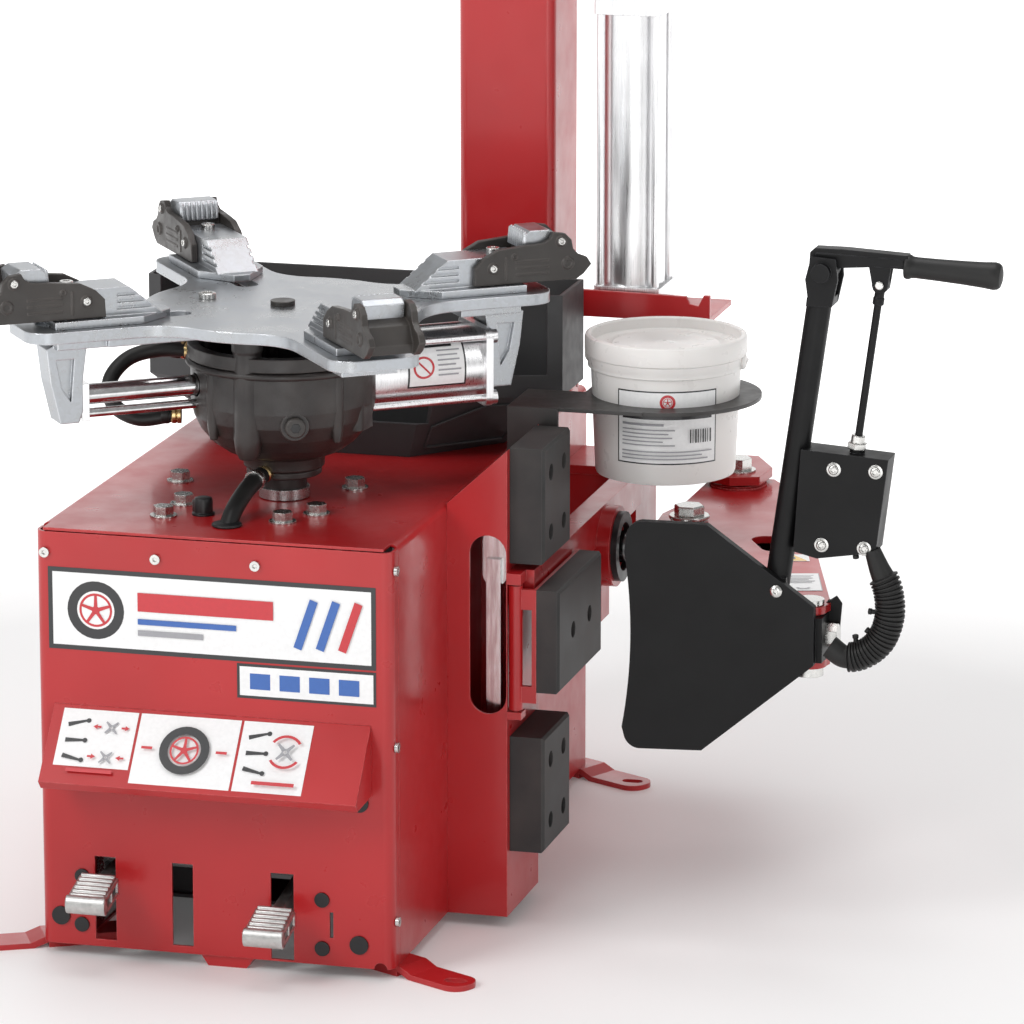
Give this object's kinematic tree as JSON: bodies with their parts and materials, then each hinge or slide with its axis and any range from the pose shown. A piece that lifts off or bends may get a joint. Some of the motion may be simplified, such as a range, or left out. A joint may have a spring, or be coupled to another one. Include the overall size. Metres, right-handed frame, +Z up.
{
  "type": "tire changer",
  "caption": "Floor-standing tire changer with a spinning four-jaw clamping table, side bead breaker arm, swing-arm mount head on a rear column, pedals and a press-arm helper.",
  "frame": {"origin": "point on the floor in the middle of the four floor bolts; the turntable's axis stands 18 mm to +X and 188 mm to -Y of it", "axes": "+Z up, parallel to the turntable's axis, -Y out of the cabinet's front where the pedals are, +X towards the bead breaker side"},
  "size_m": [1.0593, 0.9463, 1.862],
  "materials": {
    "red_paint": "gloss powder coat",
    "black_paint": "semi-gloss",
    "zinc_steel": "zinc plated",
    "black_cast": "satin paint",
    "dark_steel": "oiled",
    "steel": "machined",
    "chrome": "polished",
    "aluminium": "bright",
    "cast_aluminium": "cast",
    "rubber": "matt",
    "black_plastic": "textured",
    "white_plastic": "smooth"
  },
  "bodies": {
    "base": {"cabinet_shell": "red_paint", "front_cover": "red_paint", "pedal_hood": "red_paint", "panel_fasteners": "steel", "hole_plugs": "black_plastic", "side_wing": "red_paint", "fixed_pads": "rubber", "foot_straps": "red_paint", "tool_tray": "black_plastic", "pedal_shaft": "steel", "pedal_controls": "black_plastic", "motor": "black_paint", "drive_belt": "rubber", "gearbox_case": "black_cast", "bead_frame": "red_paint", "arm_pin": "steel", "column": "red_paint", "helper_cylinder": "aluminium", "pail_holder": "black_plastic", "tyre_iron": "chrome"},
    "turntable": {"worm_wheel": "steel", "output_shaft": "steel", "hub_casting": "black_cast", "table_plate": "zinc_steel", "hub_fittings": "steel"},
    "worm": {"worm_shaft": "steel"},
    "motor_rotor": {"motor_pulley": "black_cast"},
    "jaw_1": {"jaw_slide_1": "zinc_steel", "jaw_clamp_1": "dark_steel", "clamp_cylinder": "aluminium"},
    "jaw_2": {"jaw_slide_2": "zinc_steel", "jaw_clamp_2": "dark_steel"},
    "jaw_3": {"jaw_slide_3": "zinc_steel", "jaw_clamp_3": "dark_steel", "clamp_rod": "chrome"},
    "jaw_4": {"jaw_slide_4": "zinc_steel", "jaw_clamp_4": "dark_steel"},
    "equalizer": {"equalizer_pinion": "dark_steel"},
    "pedal_left": {"pedal_left": "cast_aluminium"},
    "pedal_right": {"pedal_right": "cast_aluminium"},
    "bead_arm": {"bead_arm": "red_paint"},
    "bead_cylinder": {"bead_cylinder": "aluminium"},
    "bead_rod": {"bead_rod": "chrome"},
    "shovel": {"shovel_blade": "black_paint", "shovel_bolts": "steel", "handle_tube": "black_paint", "control_box": "black_paint", "control_hose": "rubber"},
    "hand_lever": {"hand_lever": "black_paint"},
    "valve_rod": {"valve_rod": "steel"},
    "swing_pad": {"pad_bracket": "red_paint", "swing_pad": "rubber"},
    "swing_arm": {"swing_arm": "red_paint"},
    "tool_shaft": {"tool_shaft": "chrome", "mount_head": "cast_aluminium"},
    "lock_lever": {"lock_lever": "black_paint"},
    "helper_rod": {"helper_rod": "chrome"},
    "helper_arm": {"helper_arm": "red_paint", "press_pad": "white_plastic"},
    "pail": {"pail": "white_plastic"}
  },
  "joints": [
    {"name": "turntable_spin", "type": "hinge", "parent": "base", "child": "turntable", "pos_m": [0.018, -0.188, 0.6], "axis": [0, 0, 1], "continuous": true},
    {"name": "worm_spin", "type": "hinge", "parent": "base", "child": "worm", "pos_m": [-0.076, -0.188, 0.397], "axis": [0, 1, 0], "continuous": true},
    {"name": "motor_spin", "type": "hinge", "parent": "base", "child": "motor_rotor", "pos_m": [-0.076, -0.048, 0.2], "axis": [0, 1, 0], "continuous": true},
    {"name": "jaw_1_slide", "type": "slide", "parent": "turntable", "child": "jaw_1", "axis": [-0.7986, -0.6018, 0], "range_m": [0, 0.055]},
    {"name": "jaw_2_slide", "type": "slide", "parent": "turntable", "child": "jaw_2", "axis": [0.6018, -0.7986, 0], "range_m": [0, 0.055]},
    {"name": "jaw_3_slide", "type": "slide", "parent": "turntable", "child": "jaw_3", "axis": [0.7986, 0.6018, 0], "range_m": [0, 0.055]},
    {"name": "jaw_4_slide", "type": "slide", "parent": "turntable", "child": "jaw_4", "axis": [-0.6018, 0.7986, 0], "range_m": [0, 0.055]},
    {"name": "equalizer_spin", "type": "hinge", "parent": "turntable", "child": "equalizer", "pos_m": [0.018, -0.188, 0.65], "axis": [0, 0, 1], "range_deg": [0, 131.5]},
    {"name": "pedal_left_hinge", "type": "hinge", "parent": "base", "child": "pedal_left", "pos_m": [-0.121, -0.283, 0.082], "axis": [1, 0, 0], "range_deg": [-6, 10]},
    {"name": "pedal_right_hinge", "type": "hinge", "parent": "base", "child": "pedal_right", "pos_m": [0.072, -0.283, 0.082], "axis": [1, 0, 0], "range_deg": [-10, 10]},
    {"name": "bead_arm_hinge", "type": "hinge", "parent": "base", "child": "bead_arm", "pos_m": [0.392, 0.334, 0.345], "axis": [0, 0, 1], "range_deg": [-4, 22]},
    {"name": "bead_cylinder_hinge", "type": "hinge", "parent": "base", "child": "bead_cylinder", "pos_m": [-0.012, 0.149, 0.345], "axis": [0, 0, 1], "range_deg": [-0.3, 0.8]},
    {"name": "bead_rod_slide", "type": "slide", "parent": "bead_cylinder", "child": "bead_rod", "axis": [1, 0, 0], "range_m": [-0.013, 0.0705]},
    {"name": "shovel_hinge", "type": "hinge", "parent": "bead_arm", "child": "shovel", "pos_m": [0.584, -0.168, 0.345], "axis": [0, 0, 1], "range_deg": [-15, 30]},
    {"name": "hand_lever_hinge", "type": "hinge", "parent": "shovel", "child": "hand_lever", "pos_m": [0.597, -0.176, 0.736], "axis": [0, 1, 0], "range_deg": [0, 12]},
    {"name": "valve_rod_slide", "type": "slide", "parent": "shovel", "child": "valve_rod", "axis": [0.1298, 0, 0.9915], "range_m": [-0.0125, 0]},
    {"name": "swing_pad_hinge", "type": "hinge", "parent": "base", "child": "swing_pad", "pos_m": [0.267, -0.17, 0.318], "axis": [0, 0, 1], "range_deg": [-20, 0]},
    {"name": "swing_arm_hinge", "type": "hinge", "parent": "base", "child": "swing_arm", "pos_m": [0.142, 0.309, 1.5], "axis": [0, 0, 1], "range_deg": [-75, 10]},
    {"name": "tool_shaft_slide", "type": "slide", "parent": "swing_arm", "child": "tool_shaft", "axis": [0, 0, 1], "range_m": [-0.24, 0]},
    {"name": "lock_lever_hinge", "type": "hinge", "parent": "swing_arm", "child": "lock_lever", "pos_m": [0.073, -0.363, 1.57], "axis": [0, 0, 1], "range_deg": [0, 50]},
    {"name": "helper_lift", "type": "slide", "parent": "base", "child": "helper_rod", "axis": [0, 0, 1], "range_m": [-0.2, 0]},
    {"name": "helper_arm_hinge", "type": "hinge", "parent": "helper_rod", "child": "helper_arm", "pos_m": [0.29, 0.252, 1.2], "axis": [0, 0, 1], "range_deg": [-70, 30]},
    {"name": "pail_lift", "type": "slide", "parent": "base", "child": "pail", "axis": [0, 0, 1], "range_m": [0, 0.12]}
  ],
  "couplings": [
    {"joint": "worm_spin", "follows": "turntable_spin", "ratio": 20},
    {"joint": "motor_spin", "follows": "turntable_spin", "ratio": 37.143},
    {"joint": "jaw_2_slide", "follows": "jaw_1_slide", "ratio": 1},
    {"joint": "jaw_3_slide", "follows": "jaw_1_slide", "ratio": 1},
    {"joint": "jaw_4_slide", "follows": "jaw_1_slide", "ratio": 1},
    {"joint": "equalizer_spin", "follows": "jaw_1_slide", "rad_per_m": 41.667},
    {"joint": "bead_cylinder_hinge", "follows": "bead_arm_hinge", "ratio": 0.028},
    {"joint": "bead_rod_slide", "follows": "bead_arm_hinge", "m_per_rad": 0.18306},
    {"joint": "valve_rod_slide", "follows": "hand_lever_hinge", "m_per_rad": -0.059}
  ]
}
